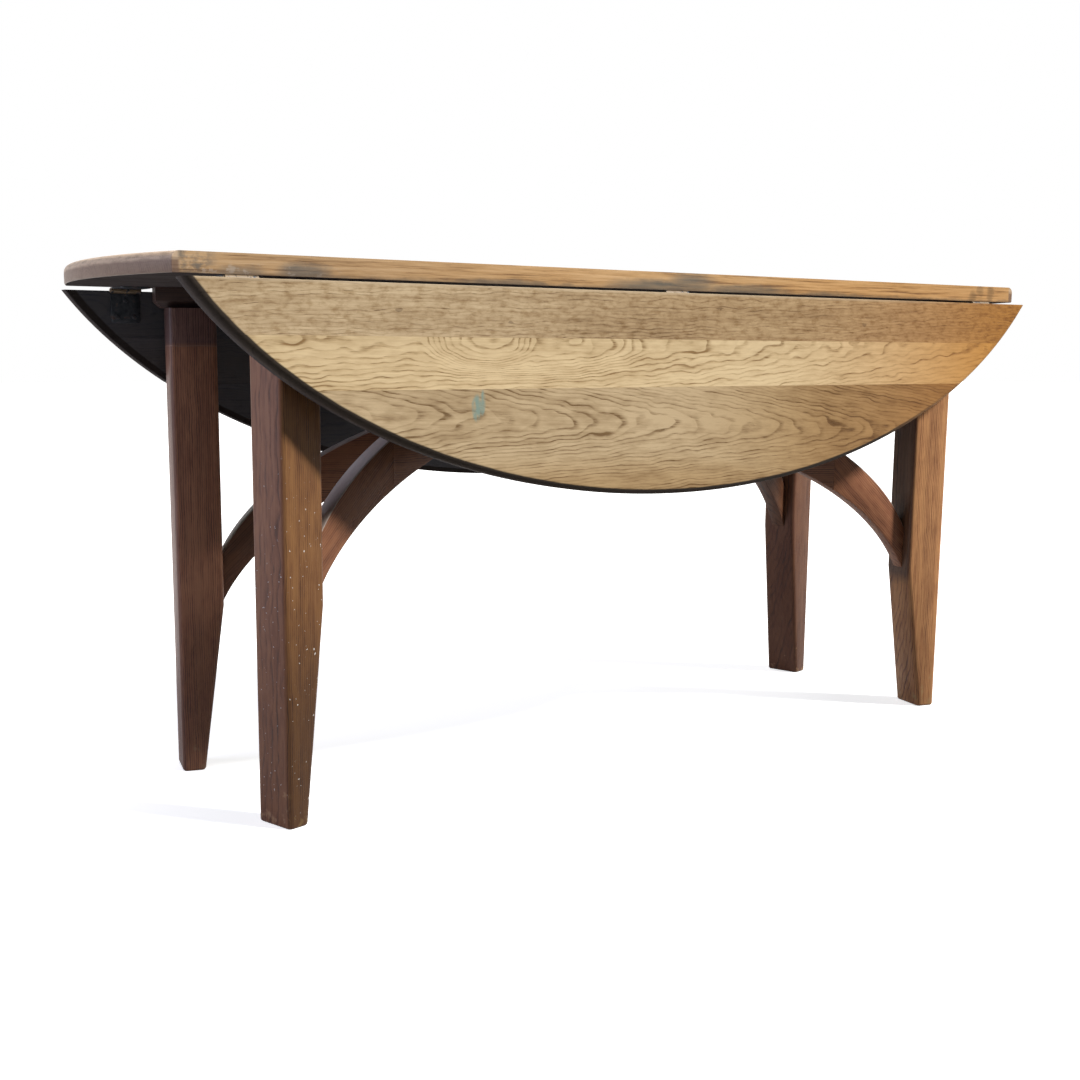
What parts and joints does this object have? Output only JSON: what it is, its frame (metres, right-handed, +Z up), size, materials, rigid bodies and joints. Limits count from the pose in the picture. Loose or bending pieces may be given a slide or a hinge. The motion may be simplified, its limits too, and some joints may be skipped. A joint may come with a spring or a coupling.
{
  "type": "drop_leaf_table",
  "caption": "Oval oak drop-leaf dining table: narrow fixed top, hinged D-shaped leaves that hang or lift level, on two crossed arched leg frames",
  "frame": {"origin": "on the floor, under the middle of the table", "axes": "+X along the hinge lines, the table's length; +Y towards the back leaf; +Z up"},
  "size_m": [1.6308, 0.4716, 0.74],
  "materials": {
    "leaf_oak": "satin, pale tan oak, grain along X",
    "top_oak": "satin, orange tan oak, stained near the hinges",
    "frame_oak": "satin, dark brown oak",
    "dark_steel": "dark blued, dull",
    "bolt_steel": "plain, slightly dull"
  },
  "bodies": {
    "table_base": {"fixed_top_front_board": "top_oak", "fixed_top_centre_board": "top_oak", "fixed_top_back_board": "top_oak", "front_left_hinge_top_flap": "dark_steel", "front_left_hinge_pin": "dark_steel", "front_middle_hinge_top_flap": "dark_steel", "front_middle_hinge_pin": "dark_steel", "front_right_hinge_top_flap": "dark_steel", "front_right_hinge_pin": "dark_steel", "back_left_hinge_top_flap": "dark_steel", "back_left_hinge_pin": "dark_steel", "back_middle_hinge_top_flap": "dark_steel", "back_middle_hinge_pin": "dark_steel", "back_right_hinge_top_flap": "dark_steel", "back_right_hinge_pin": "dark_steel", "front_left_leg": "frame_oak", "front_left_brace": "frame_oak", "front_left_inner_dowel": "leaf_oak", "front_left_outer_dowel": "leaf_oak", "front_right_leg": "frame_oak", "front_right_brace": "frame_oak", "front_right_inner_dowel": "leaf_oak", "front_right_outer_dowel": "leaf_oak", "back_left_leg": "frame_oak", "back_left_brace": "frame_oak", "back_left_inner_dowel": "leaf_oak", "back_left_outer_dowel": "leaf_oak", "back_right_leg": "frame_oak", "back_right_brace": "frame_oak", "back_right_inner_dowel": "leaf_oak", "back_right_outer_dowel": "leaf_oak", "upper_rail": "frame_oak", "lower_rail": "frame_oak", "upper_centre_arch": "frame_oak", "lower_centre_arch": "frame_oak", "top_pivot_bolt": "bolt_steel", "top_pivot_washer": "bolt_steel", "arch_pivot_bolt": "bolt_steel", "arch_pivot_nut": "bolt_steel", "arch_pivot_upper_washer": "bolt_steel", "arch_pivot_lower_washer": "bolt_steel"},
    "front_leaf": {"front_leaf_inner_board": "leaf_oak", "front_leaf_middle_board": "leaf_oak", "front_leaf_outer_board": "leaf_oak", "front_left_hinge_leaf_flap": "dark_steel", "front_middle_hinge_leaf_flap": "dark_steel", "front_right_hinge_leaf_flap": "dark_steel"},
    "back_leaf": {"back_leaf_inner_board": "leaf_oak", "back_leaf_middle_board": "leaf_oak", "back_leaf_outer_board": "leaf_oak", "back_left_hinge_leaf_flap": "dark_steel", "back_middle_hinge_leaf_flap": "dark_steel", "back_right_hinge_leaf_flap": "dark_steel"}
  },
  "joints": [
    {"name": "front_leaf_hinge", "type": "hinge", "parent": "table_base", "child": "front_leaf", "pos_m": [0, -0.2055, 0.7097], "axis": [-1, 0, 0], "range_deg": [0, 90]},
    {"name": "back_leaf_hinge", "type": "hinge", "parent": "table_base", "child": "back_leaf", "pos_m": [0, 0.2055, 0.7097], "axis": [1, 0, 0], "range_deg": [0, 90]}
  ]
}
